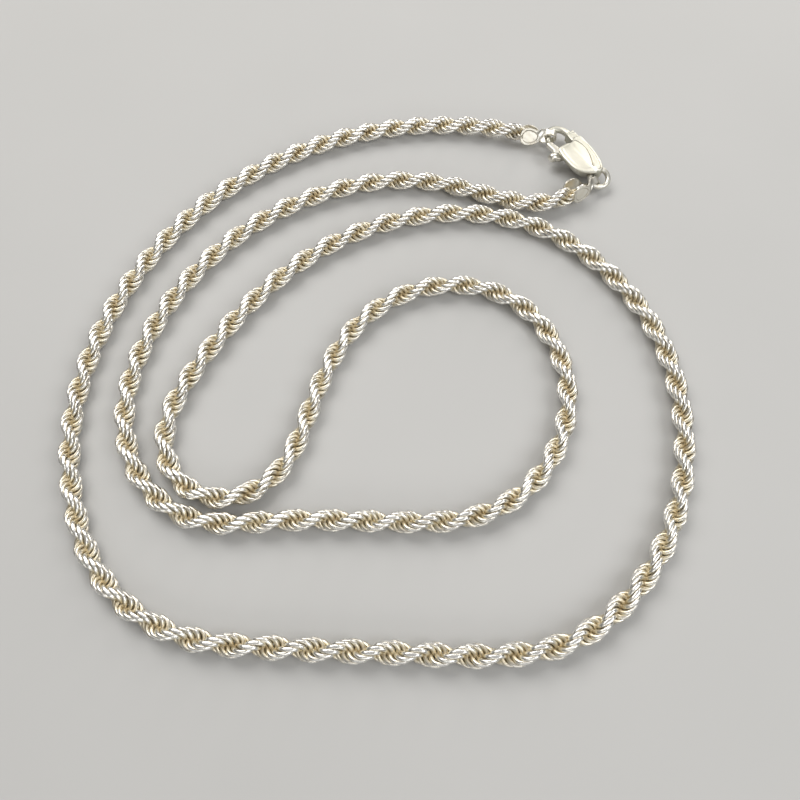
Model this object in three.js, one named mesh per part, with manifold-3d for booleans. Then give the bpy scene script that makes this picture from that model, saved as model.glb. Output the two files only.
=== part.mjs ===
// A rope-chain necklace, fastened and lying in a flat double coil.
// Millimetres, +Z up, origin under the middle of the coil on the surface it lies on.
// The rope is a left-hand two-lobed twist; it is divided into short rigid lengths that meet at
// rounded ends, so that the chain of lengths can bend the way the interlinked rope does.
// The clasp is a lobster (trigger) clasp with a sprung lever; a jump ring joins it to one folded
// end cap, and the other folded end cap hangs in its hook.
import * as THREE from 'three';
import { mergeVertices } from 'three/addons/utils/BufferGeometryUtils.js';
import Module from 'manifold-3d';

// ---------------------------------------------------------------- rope
const ROPE_D = 3.0;            // over the lobes
const ROPE_FLAT = 0.6;         // small diameter / large diameter of the twisted section
const ROPE_Z = 1.5;            // height of the rope's centre line
const LIFT = 0.4;              // the clasp hangs between its caps, this much above the rope
const SECTIONS = 42;           // rope lengths between the two end caps
const STUB = 4.5;              // rope held at each end cap, mm
const MOUTH = 1.6;             // from the last rope joint to the edge of the leaves
const JOINT_GAP = 0.15;        // half of the gap between two neighbouring rope ends
const END_RINGS = [[0.36, 0.55], [0.82, 0.86]];  // rounded ends: distance from the gap, share of full size
const AROUND = 8;              // points around the rope
const SLICES = 10;             // slices along one length

// ---------------------------------------------------------------- clasp (u: towards the hook, v: towards the spine)
const CLASP_AT = [33.246, 32.434];     // reference point of the clasp body
const CLASP_TURN = 114.13;           // direction of u, degrees from +X
const BODY_Z0 = 0.3, BODY_Z1 = 2.86;
const SLOT_Z0 = 0.94, SLOT_Z1 = 2.04;   // slot between the side plates
const HOOK_R = 0.54;                 // hook wire radius
const HOOK_Z = 1.5;
const LEVER_T = 0.86;                // lever thickness
const LEVER_Z = 1.49;                // middle of the lever
const PIN_R = 0.36, PIN_AT = [0.55, 0.95];
const RIM_STEP = 0.16;               // the front plate stands proud of its rim

// ---------------------------------------------------------------- jump ring
const RING_R = 1.50, RING_WIRE = 0.40;
const RING_TILT = 20;                // degrees, high side in the clasp's tail
const RING_SWING = 14;               // degrees of swing the tail hole leaves to it
const TAIL_HOLE_U = -3.75, TAIL_HOLE_V = 1.2, TAIL_HOLE_Z = 1.92, TAIL_CLEAR = 0.13;

// ---------------------------------------------------------------- end caps
const CAP_T = 0.26;                  // strip thickness
const CAP_GAP = 2.30;                // between the two leaves
const CAP_W = 2.7;                   // leaf width
const CAP_NECK_W = 1.15;             // strip width at the fold
const CAP_LEN = 5.95;                 // leaf edge to outside of the fold
const CAP_FOLD_R = 0.68;             // inside radius of the fold

const SILVER = () => new THREE.MeshStandardMaterial({ color: 0xe4dfd2, roughness: 0.25, metalness: 1.0 });
const SILVER_ROPE = () => new THREE.MeshStandardMaterial({ color: 0xd9d0bb, roughness: 0.3, metalness: 1.0 });
const SATIN = () => new THREE.MeshStandardMaterial({ color: 0xdedbd2, roughness: 0.4, metalness: 1.0 });
const STEEL = () => new THREE.MeshStandardMaterial({ color: 0xb8b8b8, roughness: 0.35, metalness: 1.0 });

// Rope centre line: x, y and the direction of the wide axis of the section, in degrees about the tangent.
const LINE = [
  [27.64,37.81,87], [23.32,39.22,-116], [18.94,40.50,-320], [14.45,41.31,-517], [9.91,41.62,-715], [5.35,41.48,-914],
  [0.83,40.88,-1114], [-3.62,39.88,-1314], [-7.95,38.44,-1513], [-12.13,36.64,-1710], [-16.13,34.45,-1905], [-19.93,31.92,-2098],
  [-23.49,29.08,-2288], [-26.76,25.90,-2474], [-29.70,22.41,-2659], [-32.34,18.69,-2841], [-34.66,14.77,-3021], [-36.64,10.66,-3200],
  [-38.26,6.40,-3377], [-39.48,2.00,-3553], [-40.30,-2.48,-3728], [-40.69,-7.02,-3903], [-40.58,-11.58,-4078], [-39.94,-16.09,-4252],
  [-38.79,-20.51,-4428], [-37.19,-24.77,-4603], [-35.01,-28.77,-4777], [-32.11,-32.29,-4951], [-28.55,-35.12,-5125], [-24.51,-37.22,-5299],
  [-20.13,-38.46,-5474], [-15.61,-39.09,-5650], [-11.07,-39.54,-5826], [-6.53,-39.97,-6002], [-1.98,-40.35,-6177], [2.56,-40.74,-6351],
  [7.10,-41.16,-6525], [11.65,-41.46,-6699], [16.21,-41.41,-6874], [20.71,-40.68,-7052], [24.90,-38.93,-7231], [28.66,-36.35,-7411],
  [31.94,-33.19,-7591], [34.75,-29.60,-7771], [37.03,-25.65,-7951], [38.73,-21.42,-8132], [39.91,-17.02,-8312], [40.57,-12.51,-8492],
  [40.74,-7.95,-8672], [40.38,-3.41,-8852], [39.40,1.04,-9031], [37.77,5.30,-9210], [35.60,9.30,-9387], [32.95,13.01,-9565],
  [29.81,16.31,-9742], [26.18,19.07,-9919], [22.10,21.10,-10096], [17.73,22.36,-10272], [13.20,22.92,-10448], [8.65,22.80,-10622],
  [4.15,22.06,-10795], [-0.22,20.77,-10966], [-4.39,18.92,-11136], [-8.32,16.61,-11304], [-11.93,13.83,-11470], [-15.27,10.72,-11637],
  [-18.32,7.34,-11803], [-21.07,3.70,-11971], [-23.60,-0.10,-12142], [-25.80,-4.09,-12315], [-27.50,-8.31,-12490], [-27.94,-12.83,-12666],
  [-26.50,-17.11,-12841], [-23.15,-20.13,-13018], [-18.74,-21.01,-13199], [-14.52,-19.42,-13385], [-11.47,-16.08,-13573], [-9.66,-11.90,-13756],
  [-8.19,-7.58,-13933], [-6.51,-3.34,-14107], [-4.38,0.69,-14279], [-1.57,4.27,-14449], [2.00,7.09,-14620], [6.15,8.96,-14792],
  [10.63,9.68,-14965], [15.15,9.15,-15139], [19.29,7.28,-15315], [22.59,4.17,-15493], [24.81,0.20,-15672], [25.94,-4.20,-15850],
  [26.01,-8.75,-16030], [25.00,-13.19,-16212], [22.97,-17.27,-16394], [20.09,-20.78,-16578], [16.40,-23.45,-16763], [12.14,-25.03,-16946],
  [7.61,-25.51,-17127], [3.06,-25.31,-17306], [-1.49,-24.94,-17484], [-6.04,-24.60,-17661], [-10.59,-24.37,-17838], [-15.15,-24.39,-18015],
  [-19.71,-24.31,-18190], [-24.13,-23.24,-18363], [-27.94,-20.78,-18532], [-30.89,-17.31,-18703], [-32.81,-13.19,-18875], [-33.73,-8.73,-19047],
  [-33.67,-4.18,-19219], [-32.85,0.30,-19392], [-31.41,4.63,-19564], [-29.49,8.77,-19736], [-27.14,12.67,-19908], [-24.37,16.29,-20080],
  [-21.24,19.60,-20252], [-17.75,22.54,-20425], [-13.96,25.07,-20599], [-9.88,27.11,-20774], [-5.59,28.65,-20949], [-1.16,29.70,-21126],
  [3.38,30.13,-21303], [7.93,29.82,-21483], [12.36,28.79,-21663], [16.62,27.16,-21844], [20.80,25.32,-22028], [25.15,23.99,-22224],
  [29.65,24.33,-22424], [33.66,26.47,-22614],
];

const wasm = await Module();
wasm.setup();
const solid = (geometry) => {
  const g = geometry.clone();
  for (const name of Object.keys(g.attributes)) if (name !== 'position') g.deleteAttribute(name);
  const m = mergeVertices(g, 1e-4);
  return new wasm.Manifold(new wasm.Mesh({
    numProp: 3,
    vertProperties: new Float32Array(m.attributes.position.array),
    triVerts: new Uint32Array(m.index.array),
  }));
};
const geometryOf = (manifold) => {
  const m = manifold.getMesh();
  const g = new THREE.BufferGeometry();
  g.setAttribute('position', new THREE.BufferAttribute(Float32Array.from(m.vertProperties), 3));
  g.setIndex([...m.triVerts]);
  g.computeVertexNormals();
  return g;
};
const part = new THREE.Group();
const put = (name, geometry, material, parent = part) => {
  const mesh = new THREE.Mesh(geometry, material);
  mesh.name = name;
  parent.add(mesh);
  return mesh;
};

// ---------------------------------------------------------------- rope lengths
const curve = new THREE.CatmullRomCurve3(LINE.map(([x, y]) => new THREE.Vector3(x, y, 0)), false, 'centripetal');
const SAMPLES = 4000;
const table = [];
{
  let s = 0, last = null;
  for (let i = 0; i <= SAMPLES; i++) {
    const t = i / SAMPLES, p = curve.getPoint(t), q = t * (LINE.length - 1);
    const a = Math.min(Math.floor(q), LINE.length - 2), f = q - a;
    if (last) s += p.distanceTo(last);
    last = p;
    table.push([s, p.x, p.y, LINE[a][2] * (1 - f) + LINE[a + 1][2] * f]);
  }
}
const ROPE_L = table[table.length - 1][0];
const at = (s) => {
  let lo = 0, hi = table.length - 1;
  while (hi - lo > 1) { const m = (lo + hi) >> 1; if (table[m][0] <= s) lo = m; else hi = m; }
  const f = (s - table[lo][0]) / (table[hi][0] - table[lo][0]);
  return table[lo].map((v, k) => v + (table[hi][k] - v) * f);
};
const frameAt = (s) => {
  const p = at(s), a = at(Math.max(0, s - 0.6)), b = at(Math.min(ROPE_L, s + 0.6));
  const t = new THREE.Vector3(b[1] - a[1], b[2] - a[2], 0).normalize();
  return { p: new THREE.Vector3(p[1], p[2], ROPE_Z + LIFT * (1 - THREE.MathUtils.smoothstep(Math.min(s, ROPE_L - s), 2, 18))), t, n: new THREE.Vector3(-t.y, t.x, 0), twist: p[3] * Math.PI / 180 };
};
// one closed length of rope from s0 to s1; sizeAt gives the share of full size along it
const ropeLength = (s0, s1, slices, sizeAt = () => 1) => {
  const rings = [];
  for (const [d, k] of END_RINGS) rings.push([s0 + d, k]);
  const a = s0 + 1.45, b = s1 - 1.45;
  for (let i = 0; i <= slices; i++) rings.push([a + (b - a) * i / slices, 1]);
  for (const [d, k] of [...END_RINGS].reverse()) rings.push([s1 - d, k]);
  const pos = [], index = [];
  const tip0 = frameAt(s0).p, tip1 = frameAt(s1).p;
  pos.push(tip0.x, tip0.y, tip0.z);
  for (const [s, k] of rings) {
    const { p, t, n, twist } = frameAt(s);
    const ra = ROPE_D / 2 * k * sizeAt(s), rb = ra * ROPE_FLAT;
    const ex = n.clone().multiplyScalar(Math.cos(twist)).add(new THREE.Vector3(0, 0, Math.sin(twist)));
    const ey = t.clone().cross(ex);
    for (let j = 0; j < AROUND; j++) {
      const w = 2 * Math.PI * (j + 0.5) / AROUND;
      const q = p.clone().addScaledVector(ex, ra * Math.cos(w) / Math.cos(Math.PI / AROUND) * 0.97).addScaledVector(ey, rb * Math.sin(w) / Math.cos(Math.PI / AROUND) * 0.97);
      pos.push(q.x, q.y, q.z);
    }
  }
  pos.push(tip1.x, tip1.y, tip1.z);
  const last = pos.length / 3 - 1, ring = (r, j) => 1 + r * AROUND + (j % AROUND);
  for (let j = 0; j < AROUND; j++) {
    index.push(0, ring(0, j + 1), ring(0, j));
    index.push(last, ring(rings.length - 1, j), ring(rings.length - 1, j + 1));
    for (let r = 0; r + 1 < rings.length; r++) {
      index.push(ring(r, j), ring(r, j + 1), ring(r + 1, j));
      index.push(ring(r, j + 1), ring(r + 1, j + 1), ring(r + 1, j));
    }
  }
  const g = new THREE.BufferGeometry();
  g.setAttribute('position', new THREE.Float32BufferAttribute(pos, 3));
  g.setIndex(index);
  g.computeVertexNormals();
  return g;
};
const STEP = (ROPE_L - 2 * STUB) / SECTIONS;
for (let k = 0; k < SECTIONS; k++) {
  const s0 = STUB + k * STEP + JOINT_GAP, s1 = STUB + (k + 1) * STEP - JOINT_GAP;
  put(`rope_${String(k + 1).padStart(2, '0')}`, ropeLength(s0, s1, SLICES), SILVER_ROPE());
}
// the rope ends narrow where the leaves of the caps grip them
const squeezeA = (s) => THREE.MathUtils.lerp(0.68, 1, THREE.MathUtils.smoothstep(s, STUB - MOUTH - 0.4, STUB - 0.9));
const squeezeB = (s) => squeezeA(ROPE_L - s);
put('rope_end_a', ropeLength(0, STUB - JOINT_GAP, 4, squeezeA), SILVER_ROPE());
put('rope_end_b', ropeLength(ROPE_L - STUB + JOINT_GAP, ROPE_L, 4, squeezeB), SILVER_ROPE());

// ---------------------------------------------------------------- clasp
const clasp = new THREE.Group();
clasp.position.set(CLASP_AT[0], CLASP_AT[1], LIFT);
clasp.rotation.z = (CLASP_TURN - 90) * Math.PI / 180;   // local +Y is u, local +X is v
part.add(clasp);
const outline = (points) => {         // points as [u, v], smoothed
  const c = new THREE.CatmullRomCurve3(points.map(([u, v]) => new THREE.Vector3(v, u, 0)), true, 'centripetal');
  return new THREE.Shape(c.getPoints(points.length * 2).slice(0, -1).map((p) => new THREE.Vector2(p.x, p.y)));
};
const polygon = (points) => new THREE.Shape(points.map(([u, v]) => new THREE.Vector2(v, u)));
const slab = (shape, z0, z1, bevel = 0) => {
  const g = new THREE.ExtrudeGeometry(shape, { depth: z1 - z0 - 2 * bevel, bevelEnabled: bevel > 0, bevelThickness: bevel, bevelSize: bevel, bevelOffset: -bevel, bevelSegments: 1, curveSegments: 1 });
  g.translate(0, 0, z0 + bevel);
  return g;
};
const disc = (u, v, r, z0, z1, n = 20) => {
  const g = new THREE.CylinderGeometry(r, r, z1 - z0, n);
  g.rotateX(Math.PI / 2);
  g.translate(v, u, (z0 + z1) / 2);
  return g;
};
{
  // body: a rounded shell, straight-topped, with the spine on the +v side
  const BODY = [[1.95, -1.7], [0.9, -2.0], [-0.8, -2.02], [-2.4, -1.82], [-3.5, -1.28], [-4.15, -0.42], [-4.62, 0.48], [-4.85, 1.3], [-4.6, 2.03], [-3.6, 2.5], [-2.3, 2.8], [-0.6, 2.97], [1.2, 2.9], [2.9, 2.66], [3.15, 1.8], [2.5, 0.95], [2.2, -0.2]];
  let body = solid(slab(outline(BODY), 1.15, BODY_Z1 - RIM_STEP, 0.22));
  const under = slab(outline(BODY), BODY_Z0, 1.45), up = under.attributes.position;    // underside drawn in all round
  for (let i = 0; i < up.count; i++) {
    if (up.getZ(i) < BODY_Z0 + 0.01) up.setXY(i, 0.45 + (up.getX(i) - 0.45) * 0.68, -0.9 + (up.getY(i) + 0.9) * 0.82);
  }
  body = body.add(solid(under));
  // raised front and back plates inside the rim
  const PLATE = [[1.82, -1.58], [0.85, -1.85], [-0.8, -1.88], [-2.35, -1.67], [-3.35, -1.15], [-3.92, -0.4], [-4.0, 0.25], [-3.4, 0.8], [-2.0, 1.38], [-0.9, 1.68], [0.1, 1.8], [1.4, 1.6], [2.3, 1.15], [2.2, 0.3], [2.02, -0.7]];
  body = body.add(solid(slab(outline(PLATE), 1.5, BODY_Z1, 0.1)));
  // hook: a round wire from the spine around to the open end
  const HOOK = [[2.2, 2.2], [3.8, 2.05], [5.1, 1.82], [6.2, 1.36], [6.82, 0.5], [6.78, -0.42], [6.15, -1.18], [5.15, -1.72]];
  const hookPath = new THREE.CatmullRomCurve3(HOOK.map(([u, v]) => new THREE.Vector3(v, u, HOOK_Z)), false, 'centripetal');
  const circle = new THREE.Shape();
  circle.absarc(0, 0, HOOK_R, 0, 2 * Math.PI, false);
  body = body.add(solid(new THREE.ExtrudeGeometry(circle, { steps: 16, curveSegments: 5, bevelEnabled: false, extrudePath: hookPath })));
  // collar where the hook leaves the body
  body = body.add(solid(slab(polygon([[2.75, 1.1], [4.55, 1.1], [4.75, 2.5], [2.75, 2.72]]), 0.72, 2.34, 0.12)));
  // oblique hole through the tail for the jump ring, with room for its swing
  for (const swing of [-RING_SWING, 0, RING_SWING]) {
    const g = new THREE.TorusGeometry(RING_R, RING_WIRE + TAIL_CLEAR, 8, 20);
    g.translate(0, -RING_R, 0);
    g.rotateX((RING_TILT + swing) * Math.PI / 180);
    g.translate(TAIL_HOLE_V, TAIL_HOLE_U, TAIL_HOLE_Z);
    body = body.subtract(solid(g));
  }
  // slot between the cheeks for the lever and its spring
  const SLOT = [[4.6, -3.4], [3.6, 0.3], [2.6, 1.55], [0.5, 1.95], [-1.6, 1.7], [-2.4, 0.6], [-1.7, -0.8], [-0.95, -2.1], [-0.95, -3.4]];
  body = body.subtract(solid(slab(polygon(SLOT), SLOT_Z0, SLOT_Z1)));
  body = body.subtract(solid(disc(PIN_AT[0], PIN_AT[1], PIN_R + 0.06, -1, 5, 16)));
  put('clasp_body', geometryOf(body), SATIN(), clasp);

  // pivot pin, flush in the cheeks
  put('clasp_pin', disc(PIN_AT[0], PIN_AT[1], PIN_R, BODY_Z0 + 0.1, BODY_Z1 - 0.1, 14), SATIN(), clasp);

  // lever: eye on the pin, arm along the open side, tip against the hook, knob outside
  const ARM = [[1.35, 1.25], [0.55, 1.72], [-0.2, 1.2], [-0.25, 0.3], [0.55, -1.35], [0.75, -2.25], [1.0, -2.7], [2.2, -2.75], [2.75, -2.3], [4.4, -2.52], [4.68, -2.34], [4.58, -1.6], [2.85, -1.15], [2.2, -0.6], [1.75, 0.4]];
  let lever = solid(slab(polygon(ARM), LEVER_Z - LEVER_T / 2, LEVER_Z + LEVER_T / 2, 0.1));
  const knob = new THREE.SphereGeometry(0.7, 10, 8);
  knob.scale(0.92, 1, 1.1);
  knob.translate(-3.02, 1.8, LEVER_Z);
  lever = lever.add(solid(knob));
  lever = lever.subtract(solid(disc(PIN_AT[0], PIN_AT[1], PIN_R + 0.09, -1, 5, 16)));
  put('clasp_lever', geometryOf(lever), SILVER(), clasp);

  // leaf spring folded behind the lever
  const SPRING = polygon([[-0.62, 1.35], [-1.55, 1.2], [-1.95, 0.5], [-1.5, -0.15], [-0.75, -0.05], [-0.75, 0.12], [-1.42, 0.02], [-1.76, 0.5], [-1.44, 1.05], [-0.62, 1.18]]);
  put('clasp_spring', slab(SPRING, LEVER_Z - 0.35, LEVER_Z + 0.35), STEEL(), clasp);
}

// ---------------------------------------------------------------- jump ring, closed, hanging in the tail hole
const toWorld = (u, v, z) => {
  const a = CLASP_TURN * Math.PI / 180;
  return new THREE.Vector3(CLASP_AT[0] + u * Math.cos(a) + v * Math.sin(a), CLASP_AT[1] + u * Math.sin(a) - v * Math.cos(a), z + LIFT);
};
const uDir = toWorld(1, 0, 0).sub(toWorld(0, 0, 0)), vDir = toWorld(0, 1, 0).sub(toWorld(0, 0, 0));
const tilt = RING_TILT * Math.PI / 180;
const ringUp = uDir.clone().multiplyScalar(Math.cos(tilt)).add(new THREE.Vector3(0, 0, Math.sin(tilt)));
const ringNormal = vDir.clone().cross(ringUp).normalize();
const ringCentre = toWorld(TAIL_HOLE_U, TAIL_HOLE_V, TAIL_HOLE_Z).addScaledVector(ringUp, -RING_R);
{
  const g = new THREE.TorusGeometry(RING_R, RING_WIRE, 8, 22);
  const m = new THREE.Matrix4().makeBasis(vDir, ringUp, ringNormal.clone().multiplyScalar(1));
  g.applyMatrix4(m);
  g.translate(ringCentre.x, ringCentre.y, ringCentre.z);
  put('jump_ring', g, SILVER());
}

// ---------------------------------------------------------------- folded end caps
// local x: from the leaf edge to the fold, y: across the two leaves, z: strip width
const capGeometry = (roll) => {
  const y1 = CAP_GAP / 2, y2 = y1 + CAP_T, r1 = CAP_FOLD_R, r2 = r1 + CAP_T, xc = CAP_LEN - r2;
  const half = [[0, y2], [0.6, y2], [1.2, y2], [1.8, y2], [2.4, y2], [2.9, y2 - 0.06], [3.4, y2 - 0.2], [3.9, r2 + 0.16], [4.4, r2 + 0.05]];
  const out = [], inn = [];
  for (const [x, y] of half) { out.push([x, y]); inn.push([x, y - CAP_T]); }
  for (let i = 0; i <= 10; i++) {
    const w = Math.PI / 2 - Math.PI * i / 10;
    out.push([xc + r2 * Math.cos(w), r2 * Math.sin(w)]);
    inn.push([xc + r1 * Math.cos(w), r1 * Math.sin(w)]);
  }
  for (const [x, y] of [...half].reverse()) { out.push([x, -y]); inn.push([x, -y + CAP_T]); }
  const ribbon = new THREE.Shape([...out, ...inn.reverse()].map(([x, y]) => new THREE.Vector2(x, y)));
  const rg = new THREE.ExtrudeGeometry(ribbon, { depth: CAP_W, bevelEnabled: false, curveSegments: 1 });
  rg.translate(0, 0, -CAP_W / 2);
  // leaf outline seen from the side
  const w = CAP_W / 2, nw = CAP_NECK_W / 2;
  const top = [[0.02, 0.3], [0.12, 0.7], [0.42, 1.08], [0.9, w - 0.06], [1.45, w], [2.05, w - 0.12], [2.65, w - 0.36], [3.2, nw + 0.3], [3.8, nw + 0.08], [4.4, nw], [5.2, nw], [CAP_LEN + 0.5, nw]];
  const leaf = new THREE.Shape([...top, ...[...top].reverse().map(([x, z]) => [x, -z])].map(([x, z]) => new THREE.Vector2(x, z)));
  const lg = new THREE.ExtrudeGeometry(leaf, { depth: 5, bevelEnabled: false, curveSegments: 1 });
  lg.translate(0, 0, -2.5);
  lg.rotateX(Math.PI / 2);
  let cap = solid(rg).intersect(solid(lg));
  // shallow recess in the outer face of each leaf, leaving a rim
  const rec = [[0.36, 0], [0.52, 0.5], [0.92, 0.86], [1.45, 0.97], [2.05, 0.84], [2.6, 0.5], [2.85, 0]];
  const recShape = new THREE.Shape([...rec, ...rec.slice(1, -1).reverse().map(([x, z]) => [x, -z])].map(([x, z]) => new THREE.Vector2(x, z)));
  for (const side of [1, -1]) {
    const g = new THREE.ExtrudeGeometry(recShape, { depth: 1, bevelEnabled: false, curveSegments: 1 });
    g.rotateX(Math.PI / 2);                     // depth now along -y
    g.translate(0, side > 0 ? y2 + 1 - 0.1 : -y2 + 0.1, 0);
    cap = cap.subtract(solid(g));
  }
  let g = geometryOf(cap);
  g = g.index ? g : mergeVertices(g);
  // the strip turns between the leaves and the fold
  const p = g.attributes.position;
  for (let i = 0; i < p.count; i++) {
    const x = p.getX(i), y = p.getY(i), z = p.getZ(i);
    const f = THREE.MathUtils.smoothstep(x, 2.5, 4.5);
    const a = roll * (1 - f) * Math.PI / 180, c = Math.cos(a), s = Math.sin(a);
    p.setXYZ(i, x, c * y - s * z, s * y + c * z);
  }
  g.computeVertexNormals();
  return g;
};

// hangs a cap with its fold around a wire, `past` further along than the wire, its width there along `axis`
const placeCap = (name, ropeEnd, wire, past, axis, leafWidth) => {
  const x = wire.clone().sub(ropeEnd).normalize(), loop = wire.clone().addScaledVector(x, past);
  const z = axis.clone().addScaledVector(x, -axis.dot(x)).normalize();
  const y = z.clone().cross(x);
  const lw = leafWidth.clone().addScaledVector(x, -leafWidth.dot(x)).normalize();
  const roll = Math.atan2(-lw.dot(y), lw.dot(z)) * 180 / Math.PI;
  const g = capGeometry(roll);
  const mouth = loop.clone().addScaledVector(x, -(CAP_LEN - CAP_FOLD_R - CAP_T));
  const m = new THREE.Matrix4().makeBasis(x, y, z).setPosition(mouth);
  g.applyMatrix4(m);
  put(name, g, SILVER());
};
const ringAt = (deg) => ringCentre.clone().addScaledVector(vDir, RING_R * Math.cos(deg * Math.PI / 180)).addScaledVector(ringUp, RING_R * Math.sin(deg * Math.PI / 180));
const CAP_B_AT = 192;                  // where the cap hangs on the ring, degrees
const ringTangent = vDir.clone().multiplyScalar(-Math.sin(CAP_B_AT * Math.PI / 180)).addScaledVector(ringUp, Math.cos(CAP_B_AT * Math.PI / 180)).negate();
placeCap('end_cap_b', frameAt(ROPE_L).p, ringAt(CAP_B_AT), 0.2, ringTangent, new THREE.Vector3(0.1, 0.342, 0.94));
const HOOK_HANG = [6.05, -1.2];      // where the cap hangs on the hook wire, u and v
placeCap('end_cap_a', frameAt(0).p, toWorld(HOOK_HANG[0], HOOK_HANG[1], HOOK_Z), 0.45, toWorld(0.75, 0.65, 0).sub(toWorld(0, 0, 0)), new THREE.Vector3(0, 0.53, 0.85));

export default part;
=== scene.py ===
"""Looks of the rope chain necklace: interlinked diamond-cut rings, cast lobster clasp, jump ring and folded end caps,
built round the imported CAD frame. Lengths are in millimetres until a mesh is made, then in metres."""
import math

import bpy
import numpy as np
from mathutils import Matrix, Vector


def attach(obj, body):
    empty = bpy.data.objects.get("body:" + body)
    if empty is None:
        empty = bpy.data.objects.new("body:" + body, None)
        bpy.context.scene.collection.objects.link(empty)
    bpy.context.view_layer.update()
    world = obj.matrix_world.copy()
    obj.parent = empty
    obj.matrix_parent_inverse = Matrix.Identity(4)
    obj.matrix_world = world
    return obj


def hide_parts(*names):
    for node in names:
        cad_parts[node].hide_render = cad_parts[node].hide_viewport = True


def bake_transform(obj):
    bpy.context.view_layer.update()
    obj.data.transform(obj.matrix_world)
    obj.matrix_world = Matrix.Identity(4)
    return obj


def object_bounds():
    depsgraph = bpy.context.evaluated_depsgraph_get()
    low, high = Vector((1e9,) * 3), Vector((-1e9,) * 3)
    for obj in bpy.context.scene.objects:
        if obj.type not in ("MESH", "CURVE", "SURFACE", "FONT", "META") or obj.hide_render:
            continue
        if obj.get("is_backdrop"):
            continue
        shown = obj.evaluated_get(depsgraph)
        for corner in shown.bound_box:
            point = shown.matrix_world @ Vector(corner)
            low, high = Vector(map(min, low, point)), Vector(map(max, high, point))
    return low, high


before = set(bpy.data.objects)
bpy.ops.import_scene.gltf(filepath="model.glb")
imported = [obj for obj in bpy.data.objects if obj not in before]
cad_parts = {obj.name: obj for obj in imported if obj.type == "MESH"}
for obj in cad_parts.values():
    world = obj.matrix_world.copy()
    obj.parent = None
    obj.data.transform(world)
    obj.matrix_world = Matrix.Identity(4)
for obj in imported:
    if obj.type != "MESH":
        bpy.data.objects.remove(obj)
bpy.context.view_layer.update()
RNG = np.random.default_rng(11)

# ---------------------------------------------------------------- constants shared with the CAD
ROPE_D, ROPE_Z, LIFT = 3.0, 1.5, 0.4
SECTIONS, STUB = 42, 4.5
CLASP_AT, CLASP_TURN = (33.246, 32.434), 114.13
HOOK_Z, LEVER_Z = 1.5, 1.49
PIN_R, PIN_AT = 0.36, (0.55, 0.95)
RING_R, RING_WIRE, RING_TILT, RING_SWING = 1.50, 0.40, 20.0, 14.0
TAIL_U, TAIL_V, TAIL_Z, TAIL_CLEAR = -3.75, 1.2, 1.92, 0.13
CAP_T, CAP_GAP, CAP_W, CAP_NECK_W, CAP_LEN, CAP_FOLD_R = 0.26, 2.30, 2.7, 1.15, 5.95, 0.68
HOOK_HANG = (6.05, -1.2)
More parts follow.
